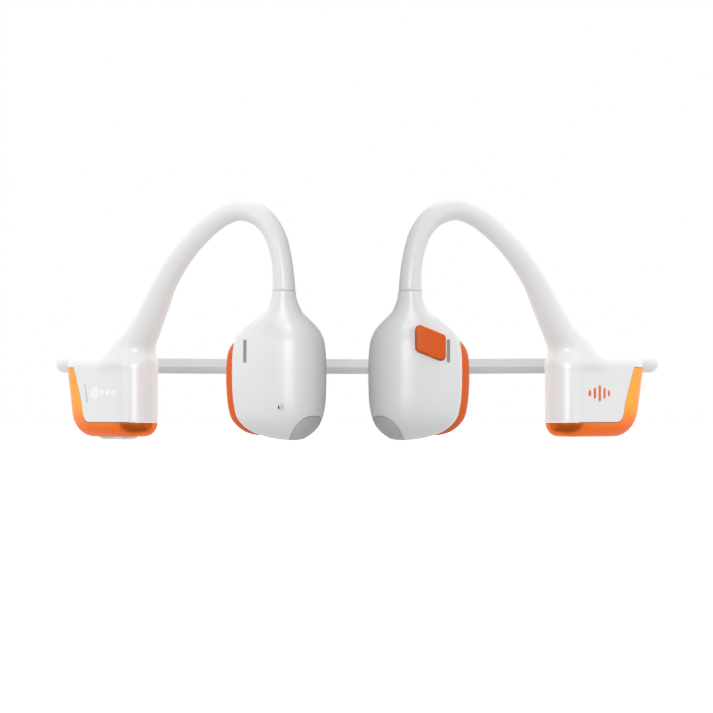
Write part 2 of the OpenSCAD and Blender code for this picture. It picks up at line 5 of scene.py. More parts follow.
import bmesh
import bpy
import numpy as np
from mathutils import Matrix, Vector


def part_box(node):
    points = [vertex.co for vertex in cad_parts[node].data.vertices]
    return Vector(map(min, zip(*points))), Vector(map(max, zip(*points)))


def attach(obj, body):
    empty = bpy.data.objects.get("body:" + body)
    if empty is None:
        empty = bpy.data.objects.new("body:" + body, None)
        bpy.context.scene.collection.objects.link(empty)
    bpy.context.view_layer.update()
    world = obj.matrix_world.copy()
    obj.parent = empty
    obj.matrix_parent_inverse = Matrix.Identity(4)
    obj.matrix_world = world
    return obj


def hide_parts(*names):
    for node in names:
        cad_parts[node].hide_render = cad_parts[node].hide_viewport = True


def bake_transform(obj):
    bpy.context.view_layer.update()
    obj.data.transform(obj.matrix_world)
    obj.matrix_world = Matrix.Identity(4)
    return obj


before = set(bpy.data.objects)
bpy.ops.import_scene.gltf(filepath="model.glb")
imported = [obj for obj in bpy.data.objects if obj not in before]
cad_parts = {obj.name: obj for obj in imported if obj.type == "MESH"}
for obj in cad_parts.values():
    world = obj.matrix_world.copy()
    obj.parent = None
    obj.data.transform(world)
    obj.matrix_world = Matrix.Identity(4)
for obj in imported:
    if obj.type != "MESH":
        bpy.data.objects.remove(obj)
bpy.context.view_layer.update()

import openvdb
from mathutils import Matrix, Vector

MM = 0.001
UP = np.array([0.0, 0.0, 1.0])


def mm(vector):
    """A point of the frame, in millimetres."""
    return np.array(vector) / MM


# ---------------------------------------------------------------- curves and meshes


def unit(v):
    return v / np.linalg.norm(v)


def on_curve(rows, t):
    """Catmull-Rom value at t, which counts the rows."""
    rows = np.asarray(rows, float)
    last = len(rows) - 1
    i = min(int(t), last - 1)
    f = t - i
    a = rows[i - 1] if i > 0 else 2 * rows[0] - rows[1]
    b, c = rows[i], rows[i + 1]
    d = rows[i + 2] if i < last - 1 else 2 * rows[last] - rows[last - 1]
    return 0.5 * (2 * b + (c - a) * f + (2 * a - 5 * b + 4 * c - d) * f**2 + (3 * b - a - 3 * c + d) * f**3)


def oval(a, b, n):
    turn = np.arange(n) * 2 * pi / n
    return np.stack([a * np.cos(turn), b * np.sin(turn)], 1)


def round_rect(a, b, r, per_corner=12):
    """Rounded rectangle outline, half sizes a and b, corner radius r."""
    points = []
    for quarter, (sx, sy) in enumerate(((1, 1), (-1, 1), (-1, -1), (1, -1))):
        for k in range(per_corner):
            turn = (quarter + k / (per_corner - 1)) * pi / 2
            points.append((sx * (a - r) + r * cos(turn), sy * (b - r) + r * sin(turn)))
    return np.array(points)


def place(centre, e1, e2, outline):
    """A flat outline put in space."""
    return np.asarray(centre) + outline[:, :1] * e1 + outline[:, 1:] * e2


def loft(rings):
    """Points and faces of a closed skin over rings that run along e1 x e2."""
    rings = [np.asarray(r) for r in rings]
    n = len(rings[0])
    points = np.concatenate(rings + [rings[0].mean(0)[None], rings[-1].mean(0)[None]])
    faces = []
    for j in range(len(rings) - 1):
        for i in range(n):
            a, b = j * n + i, j * n + (i + 1) % n
            faces.append((a, b, b + n, a + n))
    low, high, top = len(points) - 2, len(points) - 1, (len(rings) - 1) * n
    for i in range(n):
        faces.append(((i + 1) % n, i, low))
        faces.append((top + i, top + (i + 1) % n, high))
    return points, faces


def mesh_object(name, points, faces, side=1):
    """A new object from millimetre points; side -1 mirrors it to the right."""
    points = np.array(points, float) * MM
    if side < 0:
        points[:, 0] *= -1
        faces = [tuple(reversed(f)) for f in faces]
    mesh = bpy.data.meshes.new(name)
    mesh.from_pydata([tuple(p) for p in points], [], [tuple(int(i) for i in f) for f in faces])
    mesh.validate()
    obj = bpy.data.objects.new(name, mesh)
    bpy.context.scene.collection.objects.link(obj)
    return obj


def smooth(obj, angle=32):
    """Smooth shading with crisp edges where the faces turn by more than the angle."""
    bm = bmesh.new()
    bm.from_mesh(obj.data)
    for f in bm.faces:
        f.smooth = True
    for e in bm.edges:
        e.smooth = len(e.link_faces) == 2 and e.calc_face_angle(0) < radians(angle)
    bm.to_mesh(obj.data)
    bm.free()
    return obj


def outward(obj):
    """Turns all faces to look out."""
    bm = bmesh.new()
    bm.from_mesh(obj.data)
    bmesh.ops.recalc_face_normals(bm, faces=bm.faces)
    bm.to_mesh(obj.data)
    bm.free()
    return obj


def boolean(obj, tool, operation):
    """Cuts obj with tool and throws the tool away."""
    modifier = obj.modifiers.new("cut", "BOOLEAN")
    modifier.operation = operation
    modifier.solver = "EXACT"
    modifier.object = tool
    bpy.context.view_layer.update()
    graph = bpy.context.evaluated_depsgraph_get()
    mesh = bpy.data.meshes.new_from_object(obj.evaluated_get(graph))
    obj.modifiers.clear()
    old = obj.data
    obj.data = mesh
    bpy.data.meshes.remove(old)
    bpy.data.meshes.remove(tool.data)
    return obj


def copy_of(obj, name):
    twin = bpy.data.objects.new(name, obj.data.copy())
    bpy.context.scene.collection.objects.link(twin)
    return twin


# ---------------------------------------------------------------- fields


class Field:
    """Signed distances on a grid, in millimetres, negative inside."""

    def __init__(self, low, high, step, band):
        self.low, self.step, self.band = np.asarray(low, float), step, band
        self.shape = tuple(int(x) for x in np.ceil((np.asarray(high) - self.low) / step) + 1)

    def of(self, points, faces):
        triangles = []
        for f in faces:
            triangles += [(f[0], f[k], f[k + 1]) for k in range(1, len(f) - 1)]
        shape = openvdb.createLinearTransform(voxelSize=self.step)
        grid = openvdb.FloatGrid.createLevelSetFromPolygons(
            np.asarray(points - self.low, np.float32),
            triangles=np.asarray(triangles, np.uint32),
            transform=shape,
            halfWidth=self.band / self.step,
        )
        values = np.empty(self.shape, np.float32)
        grid.copyToArray(values, ijk=(0, 0, 0))
        return values

    def mesh(self, values):
        grid = openvdb.FloatGrid(self.band)
        grid.copyFromArray(values.astype(np.float32), ijk=(0, 0, 0), tolerance=0.0)
        points, quads = grid.convertToQuads(isovalue=0.0)
        return points * self.step + self.low, quads[:, ::-1]


def melt(a, b, k):
    """Smooth union of two fields: k is how far the fillet reaches."""
    h = np.clip(0.5 + 0.5 * (b - a) / k, 0, 1)
    return b + (a - b) * h - k * h * (1 - h)


# ---------------------------------------------------------------- the object's curves


# Housing: its arc in plan, as the CAD has it, from its tail (headings in plan) over its length to its nose
TAIL, TAIL_HEAD, NOSE_HEAD, HOUSE_L = np.array([57.6, 1.5]), radians(76), radians(49), 28.4
BEND = (TAIL_HEAD - NOSE_HEAD) / HOUSE_L
HOUSE_T, NOSE_R = 9.3, 4.4
TAIL_HALF, TAIL_GROW = 2.4, 10.0
HOUSE_LOW = mm(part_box("left_housing_cover")[0])[2]
HOUSE_TOP = mm(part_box("left_housing_shell")[1])[2]
TAIL_RISE, TAIL_RUN = 13.0, 13.3
# The tail's outer side leans out with height, less and less along the housing
TAIL_LEAN, LEAN_RUN, LEAN_Z = 0.16, 15.0, 7.0


def house_head(s):
    return TAIL_HEAD - BEND * s


def house_pt(s):
    head = house_head(s)
    return np.array([
        TAIL[0] - (sin(TAIL_HEAD) - sin(head)) / BEND,
        TAIL[1] - (cos(head) - cos(TAIL_HEAD)) / BEND,
        0.0,
    ])


def house_out(s):
    head = house_head(s)
    return np.array([sin(head), -cos(head), 0.0])


def house_bottom(s):
    q = max(0.0, 1 - max(s, 0) / TAIL_RUN)
    return HOUSE_LOW + TAIL_RISE * (1 - sqrt(1 - q * q))


def house_half(s):
    return TAIL_HALF + (HOUSE_T / 2 - TAIL_HALF) * sin(min(max(s, 0) / TAIL_GROW, 1) * pi / 2)


def house_ring(s):
    over = max(0.0, (s - HOUSE_L) / NOSE_R)
    share = sqrt(1 - min(over**2, 0.9999))
    half = house_half(s) * (0.12 + 0.88 * share)
    low = house_bottom(s) + 1.5 * (1 - share)
    high = HOUSE_TOP - 1.5 * (1 - share)
    tall = max((high - low) / 2, 0.6)
    centre = house_pt(s) + UP * (high - tall)
    ring = place(centre, house_out(s), UP, round_rect(half, tall, min(half, tall, 3.1) * 0.94))
    lean = TAIL_LEAN * max(0.0, 1 - max(s, 0) / LEAN_RUN)
    return ring + lean * (ring[:, 2:] - LEAN_Z) * house_out(s)


def beside_house(s, out, z):
    """A point beside the housing's arc: s along it, out across it."""
    return house_pt(s) + out * house_out(s) + z * UP


# Hook: x, y, z of its centre, half width along its plane, half thickness
HOOK = [
    (46.3, -21.1, 15.8, 5.9, 4.65), (45.4, -22, 18.6, 4.7, 4.55), (44, -23.6, 20.6, 3.6, 3.9),
    (42.5, -25.1, 22.9, 3.1, 3.35), (40.1, -27.6, 27.6, 2.75, 2.8), (37.8, -30.2, 32.4, 2.4, 2.45),
    (34.7, -32.9, 37.1, 2.25, 2.3), (31.6, -35.2, 40.7, 2.2, 2.2), (28.2, -37.4, 43.8, 2.2, 2.2),
    (24.8, -39.4, 45.9, 2.2, 2.2), (21.2, -41.3, 46.6, 2.2, 2.2), (17.2, -43.2, 44.9, 2.2, 2.2),
    (14.6, -44.6, 41.4, 2.15, 2.2), (13.3, -45.4, 37, 2.1, 2.15), (12.8, -45.9, 33, 2.2, 2.15),
    (12.7, -46, 30, 2.4, 2.2),
]
HOOK_END = len(HOOK) - 1


def hook_pt(t):
    return on_curve(HOOK, t)[:3]


def hook_dir(t):
    return unit(hook_pt(min(t + 0.02, HOOK_END)) - hook_pt(max(t - 0.02, 0)))


def hook_ring(t, n=64):
    head = radians(52 - 30 * min(max(t - 1, 0), 11) / 11)
    out = np.array([sin(head), -cos(head), 0.0])
    row = on_curve(HOOK, t)
    along = -UP if t > HOOK_END - 1 else hook_dir(t)
    weight = min(t / 3, 1)
    along = unit((1 - weight) * UP + weight * along)
    side = unit(np.cross(out, along))
    return place(row[:3], side, unit(np.cross(along, side)), oval(row[3], row[4], n))


# Band: an ellipse in plan
BAND_W, BAND_BACK, BAND_Y = 62.3, 37.1, 12.0
BAND_Z = float(mm(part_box("band_skin")[0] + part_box("band_skin")[1])[2] / 2)
# Boss round the band's end: x, y of its middle, half height, half width
BOSS = [
    (58, 2, 2.3, 1.9), (60.6, 4.2, 2.3, 1.95), (62.5, 7.2, 2.1, 1.95), (62.8, 10, 1.75, 1.9), (62.4, 13.5, 1.5, 1.8),
]
BOSS_END = len(BOSS) - 1
WIRE_FROM, WIRE_R = 4.3, float(mm(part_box("band_wire")[1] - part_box("band_wire")[0])[2] / 2)


def band_pt(turn):
    return np.array([BAND_W * cos(turn), BAND_Y + BAND_BACK * sin(turn), BAND_Z])


def band_out(turn):
    return unit(np.array([cos(turn) / BAND_W, sin(turn) / BAND_BACK, 0.0]))


# Sound unit: its own frame has -Y in front and +X on the outer side
UNIT_TURN = radians(17.5)
UNIT_AT = np.array([14.05, -44.3, 0.0])
UNIT_X = np.array([cos(UNIT_TURN), -sin(UNIT_TURN), 0.0])
UNIT_Y = np.array([sin(UNIT_TURN), cos(UNIT_TURN), 0.0])


def unit_pt(x, y, z):
    return UNIT_AT + x * UNIT_X + y * UNIT_Y + z * UP


# ---------------------------------------------------------------- materials


def node_material(name, colour, roughness, **inputs):
    """A Principled material and its node tree, with plain values on the shader's own sockets."""
    material = bpy.data.materials.new(name)
    material.use_nodes = True
    tree = material.node_tree
    shader = tree.nodes["Principled BSDF"]
    shader.inputs["Base Color"].default_value = (*colour, 1)
    shader.inputs["Roughness"].default_value = roughness
    for key, value in inputs.items():
        shader.inputs[key.replace("_", " ")].default_value = value
    return material, tree, shader


def textured(name, dark, light, rough, scale, grain, bump, **inputs):
    """Fine moulded or woven grain: colour, roughness and bump all vary a little."""
    material, tree, shader = node_material(name, light, sum(rough) / 2, **inputs)
    new, link = tree.nodes.new, tree.links.new
    where = new("ShaderNodeTexCoord")
    cloud, fine = new("ShaderNodeTexNoise"), new("ShaderNodeTexNoise")
    cloud.inputs["Scale"].default_value = scale
    fine.inputs["Scale"].default_value = grain
    fine.inputs["Detail"].default_value = 3
    for noise in (cloud, fine):
        link(where.outputs["Object"], noise.inputs["Vector"])
    colour = new("ShaderNodeMix")
    colour.data_type = "RGBA"
    colour.inputs[6].default_value = (*dark, 1)
    colour.inputs[7].default_value = (*light, 1)
    link(cloud.outputs["Fac"], colour.inputs[0])
    link(colour.outputs[2], shader.inputs["Base Color"])
    spread = new("ShaderNodeMapRange")
    spread.inputs["To Min"].default_value, spread.inputs["To Max"].default_value = rough
    link(fine.outputs["Fac"], spread.inputs["Value"])
    link(spread.outputs["Result"], shader.inputs["Roughness"])
    relief = new("ShaderNodeBump")
    relief.inputs["Strength"].default_value = bump
    relief.inputs["Distance"].default_value = 0.00002
    link(fine.outputs["Fac"], relief.inputs["Height"])
    link(relief.outputs["Normal"], shader.inputs["Normal"])
    return material


WHITE = textured("white_satin", (0.80, 0.81, 0.81), (0.84, 0.85, 0.85), (0.30, 0.38), 60, 9000, 0.10)
GREY_BAND = textured("grey_silicone", (0.70, 0.71, 0.72), (0.76, 0.77, 0.78), (0.5, 0.62), 80, 12000, 0.15)
ORANGE_PAD = textured(
    "orange_silicone", (0.74, 0.105, 0.012), (0.80, 0.125, 0.015), (0.5, 0.65), 90, 12000, 0.15,
    Specular_IOR_Level=0.3, Specular_Tint=(1.0, 0.5, 0.2, 1),
)
ORANGE_BUTTON = textured(
    "orange_button", (0.72, 0.09, 0.012), (0.78, 0.11, 0.015), (0.36, 0.46), 90, 12000, 0.1,
    Specular_Tint=(1.0, 0.6, 0.35, 1),
)
ORANGE_COVER = textured(
    "orange_cover", (0.80, 0.16, 0.02), (0.88, 0.20, 0.03), (0.24, 0.32), 70, 14000, 0.05,
    Metallic=0.6, Specular_Tint=(1.0, 0.42, 0.08, 1),
)
VENT_GREY = textured("vent_grey", (0.50, 0.51, 0.50), (0.56, 0.57, 0.56), (0.55, 0.7), 100, 15000, 0.3)
KEY_GREY = textured("key_grey", (0.70, 0.71, 0.73), (0.76, 0.77, 0.79), (0.2, 0.28), 90, 12000, 0.08)
DARK = textured("dark_plastic", (0.03, 0.03, 0.033), (0.05, 0.05, 0.055), (0.45, 0.6), 90, 12000, 0.2)
MARK_ORANGE = textured("mark_orange", (0.80, 0.10, 0.03), (0.86, 0.13, 0.04), (0.4, 0.5), 90, 12000, 0.05)
MARK_PALE = textured("mark_pale", (0.93, 0.93, 0.94), (0.96, 0.96, 0.97), (0.4, 0.5), 90, 12000, 0.05)
STEEL = textured("plated_steel", (0.5, 0.5, 0.51), (0.6, 0.6, 0.61), (0.25, 0.35), 90, 12000, 0.05, Metallic=1.0)
WINDOW_GREY = textured("window_grey", (0.26, 0.265, 0.27), (0.32, 0.325, 0.33), (0.35, 0.5), 200, 20000, 0.05)
SLOT_GREY = textured("slot_mesh", (0.24, 0.245, 0.25), (0.34, 0.345, 0.35), (0.5, 0.7), 200, 20000, 0.5)


def fade_up(material, low, high, z_low, z_high):
    """Base colour that turns from one colour to another with height."""
    tree = material.node_tree
    shader = tree.nodes["Principled BSDF"]
    new, link = tree.nodes.new, tree.links.new
    where, split, span, mix = (new(f"ShaderNode{kind}") for kind in ("TexCoord", "SeparateXYZ", "MapRange", "Mix"))
    link(where.outputs["Object"], split.inputs[0])
    link(split.outputs["Z"], span.inputs["Value"])
    span.interpolation_type = "SMOOTHSTEP"
    span.inputs["From Min"].default_value, span.inputs["From Max"].default_value = z_low, z_high
    mix.data_type = "RGBA"
    mix.inputs[6].default_value, mix.inputs[7].default_value = (*low, 1), (*high, 1)
    link(span.outputs["Result"], mix.inputs[0])
    link(mix.outputs[2], shader.inputs["Base Color"])


fade_up(ORANGE_COVER, (0.78, 0.15, 0.02), (0.98, 0.42, 0.06), 0.002, 0.008)


def dress(obj, material, body, *nodes, slot=None):
    obj.data.materials.clear()
    obj.data.materials.append(material)
    if body:
        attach(obj, body)
    if nodes:
        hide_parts(*nodes)
    return obj


# ---------------------------------------------------------------- arms: housing, hook, cover

field = Field((6, -52, -2), (68, 17, 53), step=0.25, band=3.5)
house = field.of(*loft([house_ring(s) for s in np.linspace(-0.02, HOUSE_L + NOSE_R - 0.02, 90)]))
hook = field.of(*loft([hook_ring(t) for t in np.linspace(0.05, HOOK_END, 180)]))


def boss_ring(t):
    row = on_curve(BOSS, t)
    ahead = on_curve(BOSS, min(t + 0.05, BOSS_END)) - on_curve(BOSS, max(t - 0.05, 0))
    fwd = unit(np.array([ahead[0], ahead[1], 0.0]))
    tip = sqrt(max(1 - max(0, (t - BOSS_END + 0.25) / 0.25) ** 2 * 0.75, 0.05))
    return place((row[0], row[1], BAND_Z), np.array([-fwd[1], fwd[0], 0.0]), UP, oval(row[2] * tip, row[3] * tip, 48))


boss = field.of(*loft([boss_ring(t) for t in np.linspace(0, BOSS_END, 70)]))
body_field = melt(melt(house, hook, 2.6), boss, 1.3)
arm_points, arm_faces = field.mesh(body_field)


def cover_outline(grow):
    """Outline of the cover's region seen square to the housing: along it, and up."""
    mid = HOUSE_L / 2
    rise, top, inset, lean, r = 3.6, 15.1, 9.8, 4.2, 3.3
    corner = [
        (mid - inset - lean - r * (1 - cos(a)) - grow, rise + r * (1 - sin(a)) + grow)
        for a in np.linspace(0, pi / 2, 16)
    ]
    back = mid + 1.4 + grow
    return [(-24, -2), (back, -2), (back, top + grow), (mid - inset - grow, top + grow)] + corner + [
        (-24, rise + grow)
    ]


HOUSE_MID = house_pt(HOUSE_L / 2)
HOUSE_ACROSS = house_out(HOUSE_L / 2)
HOUSE_BACK = np.array([HOUSE_ACROSS[1] * -1, HOUSE_ACROSS[0], 0.0])
# Half the gap between shell and cover, and the plane where the cover ends beside the boss
SEAM, COVER_OUT = 0.06, 61.5

HOUSE_AHEAD = -HOUSE_BACK


def in_house(x, y, z):
    """A point in the housing's own frame: x towards the nose from its middle, y outward."""
    return HOUSE_MID + x * HOUSE_AHEAD + y * HOUSE_ACROSS + z * UP


def house_block(name, outline, low, high, side):
    """A flat outline (along the housing, up) reaching across it from low to high."""
    outline = np.array(outline)
    near = np.array([in_house(x, low, z) for x, z in outline])
    far = np.array([in_house(x, high, z) for x, z in outline])
    return solid(name, near, far, side)


def solid(name, near, far, side):
    """A closed solid between two rings of the same number of points."""
    n = len(near)
    faces = [tuple(range(n)), tuple(range(2 * n - 1, n - 1, -1))]
    faces += [(i, i + n, (i + 1) % n + n, (i + 1) % n) for i in range(n)]
    return outward(mesh_object(name, np.concatenate([near, far]), faces, side))


def cover_block(grow, side):
    """The cover's region; it ends outside at a plane beside the boss."""
    outline = np.array(cover_outline(grow))
    ring = HOUSE_MID + outline[:, :1] * HOUSE_BACK + outline[:, 1:] * UP
    reach = (COVER_OUT + grow - ring[:, :1]) / HOUSE_ACROSS[0]
    return solid("cut", ring - 12 * HOUSE_ACROSS, ring + reach * HOUSE_ACROSS, side)


def capsule(x, z, w, h, n=14):
    """Outline of a slot with round ends, w wide and h high."""
    r = h / 2
    right = [(x + w / 2 - r + r * cos(a), z + r * sin(a)) for a in np.linspace(-pi / 2, pi / 2, n)]
    left = [(x - w / 2 + r + r * cos(a), z + r * sin(a)) for a in np.linspace(pi / 2, 3 * pi / 2, n)]
    return right + left


# Keys: their place along the housing, length, width, the gap between them, and their top
KEYS_S, KEY_L, KEY_W, KEY_GAP, KEY_TOP = 21.6, 6.5, 4.0, 0.4, 2.5
KEYS_AT = house_pt(KEYS_S)
KEYS_AHEAD = np.array([-cos(house_head(KEYS_S)), -sin(house_head(KEYS_S)), 0.0])
KEYS_ACROSS = house_out(KEYS_S)


def by_keys(x, y, z):
    return KEYS_AT + x * KEYS_AHEAD + y * KEYS_ACROSS + z * UP


def key_outline(x, l, w, r):
    return [(x + p, q) for p, q in round_rect(l / 2, w / 2, r, 8)]


# Charging port: its middle along the housing and up, width and height; status light: place, lean and size
USB = (4.0, 9.6, 8.94, 3.2)
LIGHT_AT, LIGHT_LEAN, LIGHT_W, LIGHT_L = (1.9, 9.6), radians(21), 0.6, 4.1


def light_outline(grow):
    """The light's slanted window with round ends."""
    points = capsule(0, 0, LIGHT_L + 2 * grow, LIGHT_W + 2 * grow, 8)
    c, d = cos(LIGHT_LEAN), sin(LIGHT_LEAN)
    return [(LIGHT_AT[0] - p * d + q * c, LIGHT_AT[1] + p * c + q * d) for p, q in points]


for name, side in (("left", 1), ("right", -1)):
    arm = mesh_object(f"{name}_arm_skin", arm_points, arm_faces, side)
    cover = copy_of(arm, f"{name}_cover")
    for obj, grow, how in ((arm, SEAM, "DIFFERENCE"), (cover, -SEAM, "INTERSECT")):
        boolean(obj, cover_block(grow, side), how)
    if side < 0:
        x, z, w, h = USB
        boolean(arm, house_block("cut", capsule(x, z, w + 1.2, h + 1.2), -9, 1.7, side), "DIFFERENCE")
        boolean(arm, house_block("cut", light_outline(0.02), 4.0, 9, side), "DIFFERENCE")
        window = house_block("status_window", light_outline(-0.02), 2.7, 4.42, side)
        dress(window, WINDOW_GREY, "right_arm", "status_light_pipe", slot="key_grey")
        for way in (-1, 1):
            slot = key_outline(way * (KEY_L + KEY_GAP) / 2, KEY_L + 0.2, KEY_W + 0.3, 1.3)
            near = np.array([by_keys(p, q, -2) for p, q in slot])
            far = np.array([by_keys(p, q, 2.4) for p, q in slot])
            boolean(cover, solid("cut", near, far, side), "DIFFERENCE")
    smooth(arm)
    smooth(cover)
    dress(arm, WHITE, None, f"{name}_housing_shell", f"{name}_hook_skin", f"{name}_unit_hook_skin", slot="white_shell")
    dress(cover, ORANGE_COVER, f"{name}_arm", f"{name}_housing_cover", slot="orange_cover")
    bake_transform(arm)


# Volume keys: rounded pads with a low hump each
def key_rings(way):
    rings = []
    middle, half = way * (KEY_L + KEY_GAP) / 2, (KEY_L - 0.3) / 2
    for t in np.linspace(-1, 1, 41):
        end = (1 - min(abs(t), 0.9995) ** 3.2) ** (1 / 3.2)
        low = 0.02 + 0.75 * (1 - cos(t * pi / 2) ** 0.8)
        wide = KEY_W / 2 * max(end, 0.05)
        outline = round_rect(wide, (KEY_TOP - low) / 2, min(0.75, wide * 0.9), 10)
        rings.append([by_keys(middle + half * t, -q, (KEY_TOP + low) / 2 + w) for q, w in outline])
    return np.array(rings)


for node, way in (("volume_up_key", 1), ("volume_down_key", -1)):
    key = outward(mesh_object(f"{node}_cap", *loft(key_rings(way)), -1))
    dress(smooth(key, 50), KEY_GREY, node, node, slot="key_grey")

# Plain marks: upright bars on the left housing, pale dots on the right
def mark(name, points, side, material):
    """A thin decal on the housing's outer face; points are (along it, up)."""
    near = np.array([beside_house(s, house_half(s) - 0.05, z) for s, z in points])
    far = np.array([beside_house(s, house_half(s) + 0.03, z) for s, z in points])
    obj = solid(name, near, far, side)
    body, slot = ("left_arm", "orange_cover") if side > 0 else ("right_arm", "key_grey")
    return dress(obj, material, body, slot=slot)


for i, (s, tall) in enumerate(((20.4, 1.3), (22.0, 2.3), (23.6, 3.4), (25.2, 2.3), (26.8, 1.3))):
    stripe = [(s + p, 9.6 + q) for q, p in capsule(0, 0, tall, 0.75, 8)]
    mark(f"left_mark_{i}", stripe, 1, MARK_ORANGE)
for i, (s, r) in enumerate(((19.9, 1.3), (22.8, 0.6), (24.9, 0.6), (27.0, 0.6))):
    turn = np.linspace(0, 2 * pi, 24, endpoint=False)
    mark(f"right_mark_{i}", [(s + r * 1.3 * cos(a), 9.7 + r * sin(a)) for a in turn], -1, MARK_PALE)

# ---------------------------------------------------------------- neckband


def band_outline():
    """Upper and lower faces lean away from a crisp edge a little under the middle."""
    corners = [(1.7, 0.3), (1.55, 0.62), (-0.2, 1.3), (-0.32, 1.28), (-1.5, 0.72), (-1.7, 0.3)]
    return np.array(corners + [(z, -t) for z, t in reversed(corners)])[::-1]


for name, side in (("left", 1), ("right", -1)):
    outline = band_outline()
    turns = np.radians(np.linspace(-1, 90, 140))
    rings = [place(band_pt(a), UP, band_out(a), outline) for a in turns]
    band = smooth(outward(mesh_object(f"{name}_band", *loft(rings), side)), 22)
    nodes = [f"{name}_band_skin"] + (["band_skin"] if side > 0 else [])
    dress(band, GREY_BAND, None, *nodes, slot="grey_silicone")
    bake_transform(band)
    # The spring wire inside bends with the band
    turns = np.radians(np.linspace(WIRE_FROM, 90, 110))
    rings = [place(band_pt(a), UP, band_out(a), oval(WIRE_R, WIRE_R, 20)) for a in turns]
    wire = smooth(outward(mesh_object(f"{name}_band_spring", *loft(rings), side)), 60)
    nodes = [f"{name}_band_wire"] + (["band_wire"] if side > 0 else [])
    dress(wire, STEEL, None, *nodes, slot="spring_metal")
    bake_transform(wire)

# ---------------------------------------------------------------- sound units

# z, centre x, half width, front y, back y, share of the body's own outline against a round neck
SHELL = [
    (0.06, -2.4, 0.9, -3.2, -1.3, 1), (0.25, -2.15, 2.6, -4.0, -0.5, 1), (0.7, -1.6, 4.1, -4.7, 0.2, 1),
    (1.7, -0.9, 6.2, -5.3, 0.6, 1), (2.9, -0.5, 7.65, -5.75, 0.7, 1), (4.1, -0.2, 8.45, -6, 0.7, 1),
    (5.3, -0.1, 8.95, -6.15, 0.7, 1), (7.7, -0.05, 9.4, -6.3, 0.7, 1), (10.3, 0, 9.58, -6.3, 0.7, 1),
    (13, 0, 9.65, -6.3, 0.7, 1), (15.2, 0, 9.63, -6.27, 0.7, 1), (17.3, 0, 9.55, -6.2, 0.7, 1),
    (19.8, -0.05, 9.2, -6, 0.7, 1), (21, -0.1, 8.75, -5.8, 0.7, 1), (22.2, -0.25, 7.95, -5.6, 0.7, 0.95),
    (23.4, -0.35, 6.8, -5.4, 0.7, 0.8), (24.6, -0.45, 5.4, -5.1, 0.65, 0.6), (25.8, -0.6, 4, -4.85, 0.5, 0.38),
    (27, -0.75, 3.2, -4.6, 0.35, 0.18), (28.5, -0.78, 2.6, -4.35, 0.2, 0.05), (30, -0.78, 2.4, -4.2, 0.15, 0),
]
# A slanted flat on the outer side with a crisp rim, a soft ridge, and a round inner side
SHELL_OUTLINE = [
    (0.96, 1), (0.962, 0.85), (0.96, 0.7), (0.952, 0.61), (0.93, 0.545), (0.82, 0.37), (0.7, 0.198), (0.56, -0.003),
    (0.42, -0.204), (0.28, -0.404), (0.14, -0.6), (0, -0.77), (-0.14, -0.895), (-0.28, -0.97), (-0.42, -1),
    (-0.57, -0.955), (-0.71, -0.82), (-0.85, -0.55), (-0.95, -0.19), (-1, 0.24), (-1, 0.6), (-0.985, 0.9),
    (-0.93, 1), (-0.5, 1), (0, 1), (0.5, 1), (0.9, 1),
]


def shell_outline(n=216):
    points = np.array(SHELL_OUTLINE)
    closed = np.concatenate([points[-1:], points, points[:2]])
    turns = np.linspace(1, len(points) + 1, n, endpoint=False)
    return np.array([on_curve(closed, t) for t in turns])


def shell_rings():
    body = shell_outline()
    angles = np.arctan2(body[:, 1], body[:, 0])
    rings = []
    for t in np.linspace(0, len(SHELL) - 1, 160):
        z, x, half, front, back, share = on_curve(SHELL, t)
        share = min(max(share, 0), 1)
        mid, deep = (front + back) / 2, (back - front) / 2
        ring = np.stack([np.cos(angles), np.sin(angles)], 1) * (1 - share) + body * share
        rings.append(np.array([unit_pt(x + half * p, mid + deep * q, z) for p, q in ring]))
    return rings


def rounded(corners, r, n=10):
    """A convex outline, given anticlockwise, grown by r with round corners."""
    points = []
    corners = [np.array(c, float) for c in corners]
    for i, c in enumerate(corners):
        before, after = c - corners[i - 1], corners[(i + 1) % len(corners)] - c
        start = atan2(-before[0], before[1])
        end = atan2(-after[0], after[1])
        while end < start:
            end += 2 * pi
        points += [c + r * np.array([cos(a), sin(a)]) for a in np.linspace(start, end, n)]
    return np.array(points)


# The facet's own frame in the unit: x along it away from the ridge, y into it
FACET_TURN, FACET_AT = radians(27.5), (4.0, -3.5)


def on_facet(x, y, z):
    c, d = cos(FACET_TURN), sin(FACET_TURN)
    return unit_pt(FACET_AT[0] + x * c - y * d, FACET_AT[1] + x * d + y * c, z)


# In the unit's frame: sound slot, vent patch, microphone, and the button on the facet
SLOT_X, SLOT_Z, SLOT_W, SLOT_L = 7.22, 17.9, 0.66, 4.7
VENT_AT, VENT_R = (-6.1, 0.4), 4.5
MIC_AT = (0.6, 6.7)
BUTTON_Z, BUTTON_HALF, BUTTON_TALL, BUTTON_SLOPE, BUTTON_R = 19.5, 2.05, 1.72, 0.4, 0.95
BUTTON = [
    (sx * BUTTON_HALF, sz * BUTTON_TALL - sx * BUTTON_HALF * BUTTON_SLOPE)
    for sx, sz in ((1, -1), (1, 1), (-1, 1), (-1, -1))
]


def slot_tool(side):
    """A cutter for the sound slot, square to the object's front."""
    forward, at = np.array([0.0, -1.0, 0.0]), unit_pt(SLOT_X, -1.8, SLOT_Z)
    points = np.array(capsule(0, 0, SLOT_L, SLOT_W, 8))
    ring = at + points[:, 1:] * np.array([1.0, 0, 0]) + points[:, :1] * UP
    return solid("cut", ring - 1.1 * forward, ring + 3 * forward, side)


